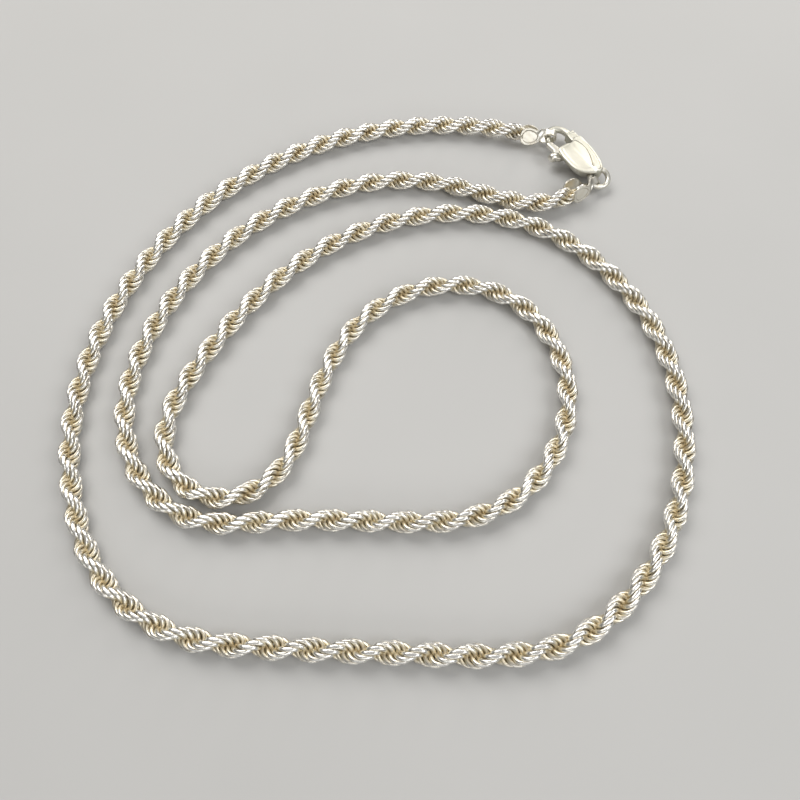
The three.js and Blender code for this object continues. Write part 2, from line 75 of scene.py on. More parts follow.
# rope centre line: x, y and the direction of the wide axis, degrees about the tangent
LINE = np.array([
  [27.64,37.81,87], [23.32,39.22,-116], [18.94,40.50,-320], [14.45,41.31,-517], [9.91,41.62,-715], [5.35,41.48,-914],
  [0.83,40.88,-1114], [-3.62,39.88,-1314], [-7.95,38.44,-1513], [-12.13,36.64,-1710], [-16.13,34.45,-1905], [-19.93,31.92,-2098],
  [-23.49,29.08,-2288], [-26.76,25.90,-2474], [-29.70,22.41,-2659], [-32.34,18.69,-2841], [-34.66,14.77,-3021], [-36.64,10.66,-3200],
  [-38.26,6.40,-3377], [-39.48,2.00,-3553], [-40.30,-2.48,-3728], [-40.69,-7.02,-3903], [-40.58,-11.58,-4078], [-39.94,-16.09,-4252],
  [-38.79,-20.51,-4428], [-37.19,-24.77,-4603], [-35.01,-28.77,-4777], [-32.11,-32.29,-4951], [-28.55,-35.12,-5125], [-24.51,-37.22,-5299],
  [-20.13,-38.46,-5474], [-15.61,-39.09,-5650], [-11.07,-39.54,-5826], [-6.53,-39.97,-6002], [-1.98,-40.35,-6177], [2.56,-40.74,-6351],
  [7.10,-41.16,-6525], [11.65,-41.46,-6699], [16.21,-41.41,-6874], [20.71,-40.68,-7052], [24.90,-38.93,-7231], [28.66,-36.35,-7411],
  [31.94,-33.19,-7591], [34.75,-29.60,-7771], [37.03,-25.65,-7951], [38.73,-21.42,-8132], [39.91,-17.02,-8312], [40.57,-12.51,-8492],
  [40.74,-7.95,-8672], [40.38,-3.41,-8852], [39.40,1.04,-9031], [37.77,5.30,-9210], [35.60,9.30,-9387], [32.95,13.01,-9565],
  [29.81,16.31,-9742], [26.18,19.07,-9919], [22.10,21.10,-10096], [17.73,22.36,-10272], [13.20,22.92,-10448], [8.65,22.80,-10622],
  [4.15,22.06,-10795], [-0.22,20.77,-10966], [-4.39,18.92,-11136], [-8.32,16.61,-11304], [-11.93,13.83,-11470], [-15.27,10.72,-11637],
  [-18.32,7.34,-11803], [-21.07,3.70,-11971], [-23.60,-0.10,-12142], [-25.80,-4.09,-12315], [-27.50,-8.31,-12490], [-27.94,-12.83,-12666],
  [-26.50,-17.11,-12841], [-23.15,-20.13,-13018], [-18.74,-21.01,-13199], [-14.52,-19.42,-13385], [-11.47,-16.08,-13573], [-9.66,-11.90,-13756],
  [-8.19,-7.58,-13933], [-6.51,-3.34,-14107], [-4.38,0.69,-14279], [-1.57,4.27,-14449], [2.00,7.09,-14620], [6.15,8.96,-14792],
  [10.63,9.68,-14965], [15.15,9.15,-15139], [19.29,7.28,-15315], [22.59,4.17,-15493], [24.81,0.20,-15672], [25.94,-4.20,-15850],
  [26.01,-8.75,-16030], [25.00,-13.19,-16212], [22.97,-17.27,-16394], [20.09,-20.78,-16578], [16.40,-23.45,-16763], [12.14,-25.03,-16946],
  [7.61,-25.51,-17127], [3.06,-25.31,-17306], [-1.49,-24.94,-17484], [-6.04,-24.60,-17661], [-10.59,-24.37,-17838], [-15.15,-24.39,-18015],
  [-19.71,-24.31,-18190], [-24.13,-23.24,-18363], [-27.94,-20.78,-18532], [-30.89,-17.31,-18703], [-32.81,-13.19,-18875], [-33.73,-8.73,-19047],
  [-33.67,-4.18,-19219], [-32.85,0.30,-19392], [-31.41,4.63,-19564], [-29.49,8.77,-19736], [-27.14,12.67,-19908], [-24.37,16.29,-20080],
  [-21.24,19.60,-20252], [-17.75,22.54,-20425], [-13.96,25.07,-20599], [-9.88,27.11,-20774], [-5.59,28.65,-20949], [-1.16,29.70,-21126],
  [3.38,30.13,-21303], [7.93,29.82,-21483], [12.36,28.79,-21663], [16.62,27.16,-21844], [20.80,25.32,-22028], [25.15,23.99,-22224],
  [29.65,24.33,-22424], [33.66,26.47,-22614],
]).reshape(-1, 3)

# rings of the rope
RING_COUNT_PER_TURN = 7        # rings in half a turn of the twist
WIRE_D = 0.556                 # ring wire
RING_MEAN = 1.222              # ring radius to the middle of the wire
CUT_SIDES, CUT_IN = 6, 1.335   # diamond-cut flats: how many round the rope, and how far out they lie


# ---------------------------------------------------------------- rope path
def catmull(points, samples):
    """Centripetal Catmull-Rom through points, samples+1 points evenly in parameter."""
    p = np.asarray(points, float)
    ext = np.vstack([2 * p[0] - p[1], p, 2 * p[-1] - p[-2]])
    out = []
    for i in range(samples + 1):
        q = i / samples * (len(p) - 1)
        a = min(int(q), len(p) - 2)
        f = q - a
        p0, p1, p2, p3 = ext[a : a + 4]
        d0, d1, d2 = (max(np.sum((b - c) ** 2) ** 0.25, 1e-6) for b, c in ((p0, p1), (p1, p2), (p2, p3)))
        t1 = ((p1 - p0) / d0 - (p2 - p0) / (d0 + d1) + (p2 - p1) / d1) * d1
        t2 = ((p2 - p1) / d1 - (p3 - p1) / (d1 + d2) + (p3 - p2) / d2) * d1
        out.append(p1 + t1 * f + (-3 * p1 + 3 * p2 - 2 * t1 - t2) * f * f + (2 * p1 - 2 * p2 + t1 + t2) * f**3)
    return np.array(out)


PATH = catmull(LINE[:, :2], 4000)
PATH_S = np.concatenate([[0], np.cumsum(np.linalg.norm(np.diff(PATH, axis=0), axis=1))])
PATH_TH = np.interp(np.linspace(0, len(LINE) - 1, 4001), np.arange(len(LINE)), LINE[:, 2])
ROPE_L = PATH_S[-1]
STEP = (ROPE_L - 2 * STUB) / SECTIONS


def smooth(x, a, b):
    t = np.clip((x - a) / (b - a), 0, 1)
    return t * t * (3 - 2 * t)


def path_xy(s):
    return np.array([np.interp(s, PATH_S, PATH[:, 0]), np.interp(s, PATH_S, PATH[:, 1])])


def frame_at(s):
    """Centre, tangent, sideways direction and twist in radians at length s along the rope."""
    xy, a, b = path_xy(s), path_xy(max(0, s - 0.6)), path_xy(min(ROPE_L, s + 0.6))
    t = np.array([b[0] - a[0], b[1] - a[1], 0.0])
    t /= np.linalg.norm(t)
    z = ROPE_Z + LIFT * (1 - smooth(min(s, ROPE_L - s), 2, 18))
    return np.array([xy[0], xy[1], z]), t, np.array([-t[1], t[0], 0.0]), math.radians(np.interp(s, PATH_S, PATH_TH))


# ---------------------------------------------------------------- meshes
def make_mesh(name, verts, faces, material, smooth_shade=True, attributes=None):
    """A mesh object from points in millimetres."""
    me = bpy.data.meshes.new(name)
    v = np.asarray(verts, np.float32) / 1000.0
    f = np.asarray(faces, np.int32)
    k = f.shape[1]
    me.vertices.add(len(v))
    me.vertices.foreach_set("co", v.ravel())
    me.loops.add(len(f) * k)
    me.loops.foreach_set("vertex_index", f.ravel())
    me.polygons.add(len(f))
    me.polygons.foreach_set("loop_start", np.arange(0, len(f) * k, k, dtype=np.int32))
    me.update(calc_edges=True)
    me.validate()
    if smooth_shade:
        me.polygons.foreach_set("use_smooth", np.ones(len(me.polygons), bool))
    for key, val in (attributes or {}).items():
        me.attributes.new(key, "FLOAT", "POINT").data.foreach_set("value", np.asarray(val, np.float32))
    me.materials.append(material)
    ob = bpy.data.objects.new(name, me)
    bpy.context.scene.collection.objects.link(ob)
    return ob


def surface(field, lo, h):
    """Quads of the zero level of a field sampled on a grid (negative inside), by averaging edge crossings in each cell."""
    shape = np.array(field.shape)
    cells = shape - 1
    acc = np.zeros((int(np.prod(cells)), 3))
    cnt = np.zeros(int(np.prod(cells)))
    strides = np.array([cells[1] * cells[2], cells[2], 1])
    quads = []
    for ax in range(3):
        o1, o2 = [(1, 2), (2, 0), (0, 1)][ax]
        a = np.take(field, range(0, shape[ax] - 1), axis=ax)
        b = np.take(field, range(1, shape[ax]), axis=ax)
        cross = (a < 0) != (b < 0)
        idx = np.argwhere(cross)
        fa, fb = a[cross], b[cross]
        keep = (idx[:, o1] > 0) & (idx[:, o1] < cells[o1]) & (idx[:, o2] > 0) & (idx[:, o2] < cells[o2])
        idx, fa, fb = idx[keep], fa[keep], fb[keep]
        pt = idx.astype(float)
        pt[:, ax] += fa / (fa - fb)
        corner = []
        for d1, d2 in ((-1, -1), (0, -1), (0, 0), (-1, 0)):
            c = idx.copy()
            c[:, o1] += d1
            c[:, o2] += d2
            ci = c @ strides
            for k in range(3):
                acc[:, k] += np.bincount(ci, weights=pt[:, k], minlength=len(acc))
            cnt += np.bincount(ci, minlength=len(cnt))
            corner.append(ci)
        q = np.stack(corner, axis=1)
        flip = fa >= 0
        q[flip] = q[flip][:, ::-1]
        quads.append(q)
    quads = np.vstack(quads)
    used, inv = np.unique(quads, return_inverse=True)
    v = acc[used] / cnt[used][:, None] * h + np.asarray(lo)
    return v, inv.reshape(-1, 4)


def relax(v, quads, rounds=2, keep=0.5):
    """Gentle smoothing: each point moves part of the way to the mean of its neighbours, then partly back."""
    e = np.vstack([quads[:, [0, 1]], quads[:, [1, 2]], quads[:, [2, 3]], quads[:, [3, 0]]])
    n = len(v)
    deg = np.bincount(e[:, 0], minlength=n) + np.bincount(e[:, 1], minlength=n)
    for i in range(rounds * 2):
        m = np.zeros_like(v)
        for k in range(3):
            m[:, k] = np.bincount(e[:, 0], weights=v[e[:, 1], k], minlength=n) + np.bincount(e[:, 1], weights=v[e[:, 0], k], minlength=n)
        m /= deg[:, None]
        v = v + (m - v) * (keep if i % 2 == 0 else -keep * 1.04)
    return v


# ---------------------------------------------------------------- signed distances, in millimetres
def grid(lo, hi, h):
    axes = [np.arange(a, b + h, h) for a, b in zip(lo, hi)]
    return np.meshgrid(*axes, indexing="ij", sparse=True)


def poly2(px, py, pts):
    """Signed distance to a closed polygon, negative inside."""
    pts = np.asarray(pts, float)
    d = np.full(np.broadcast(px, py).shape, 1e9)
    inside = np.zeros(d.shape, bool)
    for (ax, ay), (bx, by) in zip(pts, np.roll(pts, -1, axis=0)):
        ex, ey = bx - ax, by - ay
        wx, wy = px - ax, py - ay
        t = np.clip((wx * ex + wy * ey) / (ex * ex + ey * ey + 1e-12), 0, 1)
        d = np.minimum(d, (wx - ex * t) ** 2 + (wy - ey * t) ** 2)
        if ay != by:
            crosses = ((ay <= py) & (by > py)) | ((by <= py) & (ay > py))
            inside ^= crosses & (px < ax + (py - ay) / (by - ay) * ex)
    d = np.sqrt(d)
    return np.where(inside, -d, d)


def tube(px, py, pz, pts, radius):
    """Distance to a chain of points, less its radius (one number or one per point)."""
    pts = np.asarray(pts, float)
    r = np.broadcast_to(radius, (len(pts),))
    d = np.full(np.broadcast(px, py, pz).shape, 1e9)
    for i in range(len(pts) - 1):
        a, e = pts[i], pts[i + 1] - pts[i]
        wx, wy, wz = px - a[0], py - a[1], pz - a[2]
        t = np.clip((wx * e[0] + wy * e[1] + wz * e[2]) / (e @ e + 1e-12), 0, 1)
        q = np.sqrt((wx - e[0] * t) ** 2 + (wy - e[1] * t) ** 2 + (wz - e[2] * t) ** 2) - (r[i] + (r[i + 1] - r[i]) * t)
        d = np.minimum(d, q)
    return d


def extrude(d2, z, z0, z1, r):
    """A flat outline between two heights, its edges rounded by r."""
    a, b = d2 + r, np.abs(z - (z0 + z1) / 2) - ((z1 - z0) / 2 - r)
    return np.minimum(np.maximum(a, b), 0) + np.sqrt(np.maximum(a, 0) ** 2 + np.maximum(b, 0) ** 2) - r


def join(a, b, k=0.0):
    if k <= 0:
        return np.minimum(a, b)
    h = np.maximum(k - np.abs(a - b), 0) / k
    return np.minimum(a, b) - h * h * k * 0.25


def cut(a, b, k=0.0):
    return -join(-a, b, k)


def loop(points, n=10):
    """A closed smooth outline through points given as [u, v], returned as x = v, y = u."""
    p = np.array([[v, u] for u, v in points], float)
    m = len(p)
    out = []
    for i in range(m):
        p0, p1, p2, p3 = p[(i - 1) % m], p[i], p[(i + 1) % m], p[(i + 2) % m]
        d0, d1, d2 = (np.linalg.norm(b - a) ** 0.5 for a, b in ((p0, p1), (p1, p2), (p2, p3)))
        t1 = ((p1 - p0) / d0 - (p2 - p0) / (d0 + d1) + (p2 - p1) / d1) * d1
        t2 = ((p2 - p1) / d1 - (p3 - p1) / (d1 + d2) + (p3 - p2) / d2) * d1
        for k in range(n):
            f = k / n
            out.append(p1 + t1 * f + (-3 * p1 + 3 * p2 - 2 * t1 - t2) * f * f + (2 * p1 - 2 * p2 + t1 + t2) * f**3)
    return np.array(out)


def straight(points):
    return np.array([[v, u] for u, v in points], float)


TURN = math.radians(CLASP_TURN)


def to_world(u, v, z):
    return np.array([CLASP_AT[0] + u * math.cos(TURN) + v * math.sin(TURN), CLASP_AT[1] + u * math.sin(TURN) - v * math.cos(TURN), z + LIFT])


def clasp_to_world(p):
    """Points with x = v and y = u to the part's frame."""
    u, v, z = p[:, 1], p[:, 0], p[:, 2]
    return np.stack([CLASP_AT[0] + u * math.cos(TURN) + v * math.sin(TURN), CLASP_AT[1] + u * math.sin(TURN) - v * math.cos(TURN), z + LIFT], axis=1)


# ---------------------------------------------------------------- materials
class Nodes:
    """Short hand for building a node tree."""

    def __init__(self, name):
        self.mat = bpy.data.materials.new(name)
        self.mat.use_nodes = True
        self.t = self.mat.node_tree
        self.bsdf = next(n for n in self.t.nodes if n.type == "BSDF_PRINCIPLED")
        co = self.t.nodes.new("ShaderNodeTexCoord")
        self.mm = self.t.nodes.new("ShaderNodeMapping")
        self.mm.inputs["Scale"].default_value = (1000, 1000, 1000)
        self.t.links.new(co.outputs["Object"], self.mm.inputs["Vector"])

    def link(self, a, b):
        self.t.links.new(a, b)
        return b

    def noise(self, scale, detail=4.0, rough=0.55, stretch=None, turn=0.0):
        n = self.t.nodes.new("ShaderNodeTexNoise")
        n.inputs["Scale"].default_value = scale
        n.inputs["Detail"].default_value = detail
        n.inputs["Roughness"].default_value = rough
        src = self.mm.outputs["Vector"]
        if stretch:
            m = self.t.nodes.new("ShaderNodeMapping")
            m.inputs["Rotation"].default_value = (0, 0, turn)
            m.inputs["Scale"].default_value = stretch
            self.link(src, m.inputs["Vector"])
            src = m.outputs["Vector"]
        self.link(src, n.inputs["Vector"])
        return n.outputs["Fac"]

    def attribute(self, name):
        n = self.t.nodes.new("ShaderNodeAttribute")
        n.attribute_name = name
        return n.outputs["Fac"]

    def math(self, op, a, b=None, c=None, clamp=False):
        n = self.t.nodes.new("ShaderNodeMath")
        n.operation = op
        n.use_clamp = clamp
        for i, x in enumerate((a, b, c)):
            if x is None:
                continue
            if isinstance(x, (int, float)):
                n.inputs[i].default_value = x
            else:
                self.link(x, n.inputs[i])
        return n.outputs[0]

    def span(self, value, a, b, lo=0.0, hi=1.0):
        n = self.t.nodes.new("ShaderNodeMapRange")
        n.interpolation_type = "SMOOTHSTEP"
        for key, x in (("From Min", a), ("From Max", b), ("To Min", lo), ("To Max", hi)):
            n.inputs[key].default_value = x
        self.link(value, n.inputs["Value"])
        return n.outputs["Result"]

    def mix(self, fac, a, b):
        n = self.t.nodes.new("ShaderNodeMix")
        n.data_type = "RGBA"
        for key, x in ((0, fac), (6, a), (7, b)):
            if isinstance(x, (int, float)):
                n.inputs[key].default_value = x
            elif isinstance(x, tuple):
                n.inputs[key].default_value = (*x, 1.0)
            else:
                self.link(x, n.inputs[key])
        return n.outputs[2]

    def bump(self, height, strength, distance=0.00002, normal=None):
        n = self.t.nodes.new("ShaderNodeBump")
        n.inputs["Strength"].default_value = strength
        n.inputs["Distance"].default_value = distance
        self.link(height, n.inputs["Height"])
        if normal is not None:
            self.link(normal, n.inputs["Normal"])
        return n.outputs["Normal"]

    def finish(self, color, rough, normal=None, metallic=1.0):
        self.link(color, self.bsdf.inputs["Base Color"])
        if isinstance(rough, (int, float)):
            self.bsdf.inputs["Roughness"].default_value = rough
        else:
            self.link(rough, self.bsdf.inputs["Roughness"])
        self.bsdf.inputs["Metallic"].default_value = metallic
        if normal is not None:
            self.link(normal, self.bsdf.inputs["Normal"])
        return self.mat


def rope_material():
    m = Nodes("rope_silver")
    cav, flat = m.attribute("cavity"), m.attribute("cut")
    patches = m.noise(0.35, 3.0)
    fine = m.noise(7.0, 5.0, 0.6)
    # from the cavity amount the rope turns darker and yellower towards its axis: painted shade and warm painted
    # reflection in the hollows between the rings; the random patches added on top are the silver's own tarnish
    tarnish_and_shade = m.math("ADD", cav, m.span(patches, 0.35, 0.75, -0.10, 0.14), clamp=True)
    tarnish_and_shade = m.math("MULTIPLY", tarnish_and_shade, m.span(fine, 0.25, 0.7, 0.8, 1.1), clamp=True)
    color = m.mix(m.span(tarnish_and_shade, 0.0, 0.7), (0.94, 0.925, 0.875), (0.93, 0.875, 0.72))
    # brown-grey in the deepest hollows: painted shade
    color = m.mix(m.span(tarnish_and_shade, 0.80, 1.05), color, (0.66, 0.56, 0.38))
    color = m.mix(flat, color, (0.95, 0.94, 0.915))
    # painted shade between the rings, on the sides of the wire that face its neighbours
    color = m.mix(m.math("MULTIPLY", m.attribute("seam"), 0.5), color, (0.50, 0.42, 0.29))
    rough = m.math("ADD", m.span(fine, 0.2, 0.8, 0.24, 0.33), m.math("MULTIPLY", tarnish_and_shade, 0.14))
    rough = m.math("MULTIPLY", rough, m.span(flat, 0.0, 1.0, 1.0, 0.88))
    lines = m.noise(26.0, 3.0, 0.7, stretch=(1.0, 0.25, 1.0), turn=0.6)
    return m.finish(color, rough, m.bump(lines, 0.10, 0.00001))


def satin_material():
    m = Nodes("clasp_silver")
    geo = m.t.nodes.new("ShaderNodeNewGeometry")
    point = geo.outputs["Pointiness"]
    # darker in creases (from pointiness) and along the groove lines: painted shade, together with the tarnish silver
    # gathers in its creases
    crease_shade = m.span(point, 0.47, 0.42)
    # lighter on convex edges (from pointiness): painted highlight
    edge = m.span(point, 0.52, 0.57)
    cloud = m.noise(0.55, 4.0)
    brushed = m.noise(9.0, 5.0, 0.7, stretch=(1.0, 0.08, 1.0), turn=-0.42)
    grain = m.noise(34.0, 3.0, 0.6)
    color = m.mix(m.span(cloud, 0.3, 0.75), (0.72, 0.705, 0.62), (0.66, 0.64, 0.55))
    color = m.mix(edge, color, (0.92, 0.90, 0.84))
    crease_shade = m.math("MAXIMUM", m.math("MULTIPLY", crease_shade, 0.6), m.attribute("painted_groove_shade"))
    # painted shade in the creases and grooves
    color = m.mix(crease_shade, color, (0.26, 0.22, 0.15))
    rough = m.math("ADD", m.span(brushed, 0.25, 0.75, 0.36, 0.46), m.math("MULTIPLY", crease_shade, 0.25))
    rough = m.math("SUBTRACT", rough, m.math("MULTIPLY", edge, 0.13), clamp=True)
    n = m.bump(grain, 0.22, 0.000008)
    return m.finish(color, rough, m.bump(brushed, 0.22, 0.000012, n))


def polished_material(name, hi, lo, base_rough):
    m = Nodes(name)
    geo = m.t.nodes.new("ShaderNodeNewGeometry")
    point = geo.outputs["Pointiness"]
    # darker in creases and along the groove lines: painted shade, with tarnish on the silver parts
    crease_shade = m.span(point, 0.48, 0.43)
    # lighter on convex edges: painted highlight
    edge = m.span(point, 0.52, 0.58)
    cloud = m.noise(0.8, 4.0)
    scratch = m.noise(14.0, 5.0, 0.75, stretch=(1.0, 0.12, 0.6), turn=0.9)
    color = m.mix(m.span(cloud, 0.3, 0.75), hi, lo)
    crease_shade = m.math("MAXIMUM", crease_shade, m.attribute("painted_groove_shade"))
    color = m.mix(m.math("MULTIPLY", crease_shade, 0.8), color, (0.30, 0.25, 0.17))
    color = m.mix(edge, color, (0.95, 0.93, 0.88))
    rough = m.math("ADD", m.span(scratch, 0.2, 0.8, base_rough - 0.05, base_rough + 0.08), m.math("MULTIPLY", crease_shade, 0.3), clamp=True)
    return m.finish(color, rough, m.bump(scratch, 0.22, 0.000012))


ROPE = rope_material()
SATIN = satin_material()
POLISHED = polished_material("polished_silver", (0.84, 0.82, 0.75), (0.76, 0.72, 0.62), 0.32)
STEEL = polished_material("spring_steel", (0.62, 0.62, 0.62), (0.52, 0.51, 0.49), 0.34)

# ---------------------------------------------------------------- rope of interlinked rings
MAJOR, MINOR = 40, 12
PHI = np.arange(MAJOR) / MAJOR * 2 * math.pi
PSI = np.arange(MINOR) / MINOR * 2 * math.pi


def squeeze(s):
    """The leaves of the end caps grip narrower rings."""
    d = min(s, ROPE_L - s)
    return 0.68 + 0.32 * float(smooth(d, STUB - 1.6 - 0.4, STUB - 0.9))


def ring_points(s, jitter):
    """Points of one ring, with the outer side shaved to the flats of the diamond cut. Returns points, cavity and cut amounts."""
    c, t, n, th = frame_at(s)
    size = squeeze(s)
    up = np.array([0, 0, 1.0])
    lean = jitter[0] * 0.05
    ex = math.cos(th) * n + math.sin(th) * up
    ey = np.cross(t, ex)
    tt = t + ey * lean
    tt /= np.linalg.norm(tt)
    ey = np.cross(tt, ex)
    rm, rw = RING_MEAN * size, WIRE_D / 2 * size * (1 + 0.02 * jitter[1])
    rad = np.cos(PHI)[:, None] * tt + np.sin(PHI)[:, None] * ex
    p = c + rm * rad[:, None, :] + rw * (np.cos(PSI)[None, :, None] * rad[:, None, :] + np.sin(PSI)[None, :, None] * ey)
    p = p.reshape(-1, 3)
    q = p - c
    a, b = q @ n, q @ up
    r0 = np.hypot(a, b)
    shaved = np.zeros(len(p))
    inner = (CUT_IN + 0.012 * jitter[2]) * size
    turn = 0.06 * math.sin(s * 0.21) + 0.02 * jitter[3]
    for j in range(CUT_SIDES):
        w = 2 * math.pi * (j + 0.5) / CUT_SIDES + turn
        over = a * math.cos(w) + b * math.sin(w) - inner
        over = 0.5 * (over + np.sqrt(over**2 + 0.0016))
        a = a - over * math.cos(w)
        b = b - over * math.sin(w)
        shaved = np.maximum(shaved, over)
    p = c + np.outer(q @ t, t) + np.outer(a, n) + np.outer(b, up)
    # the seam mask is not a joint in the wire: it is painted shade on the sides of each ring wire that face the
    # neighbouring rings
    seam = np.tile(smooth(np.abs(np.sin(PSI)), 0.62, 0.98), MAJOR)
    # the cavity amount (nearness to the rope's axis) carries the painted shade of the rope's hollows into the material
    return p, 1 - smooth(r0 / size, 0.62, 1.22), smooth(shaved, 0.02, 0.07), seam


def ring_faces():
    f = []
    for i in range(MAJOR):
        for j in range(MINOR):
            i2, j2 = (i + 1) % MAJOR, (j + 1) % MINOR
            f.append((i * MINOR + j, i2 * MINOR + j, i2 * MINOR + j2, i * MINOR + j2))
    return np.array(f)


RF = ring_faces()
th_of = lambda s: np.interp(s, PATH_S, PATH_TH)
first, last = 0.85, ROPE_L - 0.85
step_th = -180.0 / RING_COUNT_PER_TURN
count = int(round((th_of(last) - th_of(first)) / step_th))
targets = np.linspace(th_of(first), th_of(last), count + 1)
S = np.interp(-targets, -PATH_TH, PATH_S)
JIT = RNG.normal(0, 1, (len(S), 4)).clip(-1.6, 1.6)


def rope_piece(name, lo, hi):
    """The rings whose middle lies between two lengths along the rope, as one mesh."""
    vs, fs, cav, flat, ring_gap_shade, base = [], [], [], [], [], 0
    for s, j in zip(S, JIT):
        if lo <= s < hi:
            p, c, k, g = ring_points(s, j)
            vs.append(p)
            cav.append(c)
            flat.append(k)
            ring_gap_shade.append(g)
            fs.append(RF + base)
            base += len(p)
    ob = make_mesh(name, np.vstack(vs), np.vstack(fs), ROPE, attributes={"cavity": np.concatenate(cav), "cut": np.concatenate(flat), "seam": np.concatenate(ring_gap_shade)})
    return ob


def at_m(s):
    return tuple(frame_at(s)[0] / 1000.0)


piece = rope_piece("links_end_a", -1, STUB)
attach(piece, "end_cap_a")
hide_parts("rope_end_a")
piece = rope_piece("links_00", STUB, STUB + 0.5 * STEP)
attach(piece, "rope_01")
for k in range(1, SECTIONS):
    lo, hi = STUB + (k - 0.5) * STEP, STUB + (k + 0.5) * STEP
    piece = rope_piece(f"links_{k:02d}", lo, hi)
    at_m(lo)
    at_m(hi)
    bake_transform(piece)
    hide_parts(f"rope_{k:02d}")
piece = rope_piece("links_42", STUB + 41.5 * STEP, ROPE_L + 1)
at_m(STUB + 41.5 * STEP)
at_m(ROPE_L - 0.8)
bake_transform(piece)
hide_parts("rope_42", "rope_end_b")

# ---------------------------------------------------------------- clasp
BODY = [[1.95, -1.7], [0.9, -2.0], [-0.8, -2.02], [-2.4, -1.82], [-3.5, -1.28], [-4.15, -0.42], [-4.62, 0.48], [-4.85, 1.3], [-4.6, 2.03], [-3.6, 2.5], [-2.3, 2.8], [-0.6, 2.97], [1.2, 2.9], [2.9, 2.66], [3.15, 1.8], [2.5, 0.95], [2.2, -0.2]]
PLATE = [[1.82, -1.58], [0.85, -1.85], [-0.8, -1.88], [-2.35, -1.67], [-3.35, -1.15], [-3.92, -0.4], [-4.0, 0.25], [-3.4, 0.8], [-2.0, 1.38], [-0.9, 1.68], [0.1, 1.8], [1.4, 1.6], [2.3, 1.15], [2.2, 0.3], [2.02, -0.7]]
HOOK = [[2.2, 2.2], [3.8, 2.05], [5.1, 1.82], [6.2, 1.36], [6.82, 0.5], [6.78, -0.42], [6.15, -1.18], [5.15, -1.72]]
SLOT = [[4.6, -3.4], [3.6, 0.3], [2.6, 1.55], [0.5, 1.95], [-1.6, 1.7], [-2.4, 0.6], [-2.1, -0.35], [-0.75, -0.42], [0.0, -1.35], [0.33, -2.2], [0.33, -3.4]]
ARM = [[1.35, 1.25], [0.55, 1.72], [-0.2, 1.2], [-0.25, 0.3], [0.55, -1.35], [0.75, -2.25], [1.0, -2.7], [2.2, -2.75], [2.75, -2.3], [4.4, -2.52], [4.68, -2.34], [4.58, -1.6], [2.85, -1.15], [2.2, -0.6], [1.75, 0.4]]
H = 0.05
tilt = math.radians(RING_TILT)


def torus_field(x, y, z, swing, r):
    """Distance to the path of the jump ring in the clasp's own frame, swung about its hole."""
    a = math.radians(RING_TILT + swing)
    y1, z1 = y - TAIL_U, z - TAIL_Z
    yy = y1 * math.cos(a) + z1 * math.sin(a) + RING_R
    zz = -y1 * math.sin(a) + z1 * math.cos(a)
    xx = x - TAIL_V
    return np.sqrt((np.sqrt(xx**2 + yy**2) - RING_R) ** 2 + zz**2) - r


def clasp_body():
    x, y, z = grid((-2.6, -5.2, -0.1), (3.4, 7.7, 3.1), H)
    b2, p2 = poly2(x, y, loop(BODY)), poly2(x, y, loop(PLATE))
    spine = smooth(x + 0.1 * y, 0.0, 0.75)         # the band and its grooves run along the spine and round the tail
    low = np.clip((1.55 - z) / 1.25, 0, 1)
    under = 0.8 * (1 - np.sqrt(1.0001 - low**2))   # underside drawn in like a pebble
    down = np.clip((2.7 - z) / 2.4, 0, 1)
    lip = 0.30 - 0.75 * down - 0.72 * down**2      # the open side leans in from its upper edge
    crown = 2.86 - 0.05 * (1 - smooth(-p2, 0.0, 1.3))
    rim = 2.70 * spine + (2.86 - 0.06 * (1 - smooth(-b2, 0.0, 1.8))) * (1 - spine)
    d = extrude(b2 + under * spine - lip * (1 - spine), z, 0.30, rim, 0.34)
    d = join(d, extrude(p2 + 0.3 * (1 - spine), z, 1.5, crown, 0.12), 0.10)
    g1 = np.sqrt((p2 - 0.10) ** 2 + (z - 2.70 - 0.45 * (1 - spine)) ** 2) - 0.125
    d = cut(d, g1, 0.05)
    tail = spine * (1 - smooth(y, -0.2, 1.6))
    g2 = np.sqrt((b2 + 0.40) ** 2 + (z - 2.71 - 0.40 * (1 - tail)) ** 2) - 0.095
    d = cut(d, g2, 0.05)
    hook = catmull([[v, u, HOOK_Z] for u, v in HOOK], 48)
    d = join(d, tube(x, y, z, hook, np.interp(np.linspace(0, 1, 49), [0, 0.3, 0.85, 1], [0.54, 0.54, 0.53, 0.47])), 0.16)
    collar = poly2(x, y, straight([[2.75, 1.1], [4.55, 1.1], [4.75, 2.5], [2.75, 2.72]]))
    d = join(d, extrude(collar, z, 0.72, 2.34, 0.14), 0.06)
    ring_line = np.sqrt((y - 4.12 - 0.05 * x) ** 2 + (np.maximum(extrude(collar, z, 0.72, 2.34, 0.14), -0.3)) ** 2) - 0.075
    d = cut(d, ring_line, 0.04)
    for swing in (-RING_SWING, -7.0, 0.0, 7.0, RING_SWING):
        d = cut(d, torus_field(x, y, z, swing, RING_WIRE + TAIL_CLEAR), 0.05)
    slot = extrude(poly2(x, y, straight(SLOT)), z, 0.94, 2.04, 0.06)
    d = cut(d, slot, 0.03)
    v, q = surface(d, (-2.6, -5.2, -0.1), H)
    v = relax(v, q, 2)
    vx, vy, vz = v.T
    band = smooth(vx + 0.1 * vy, 0.0, 0.75)
    # painted shade along the groove round the plate and the groove round the tail end of the body
    painted_line_shade = np.exp(-(((poly2(vx, vy, loop(PLATE)) - 0.10) / 0.085) ** 2)) * band * smooth(vz, 2.3, 2.55)
    painted_line_shade = np.maximum(painted_line_shade, 0.8 * np.exp(-(((poly2(vx, vy, loop(BODY)) + 0.40) / 0.07) ** 2)) * band * (1 - smooth(vy, -0.2, 1.6)) * smooth(vz, 2.3, 2.55))
    return v, q, painted_line_shade


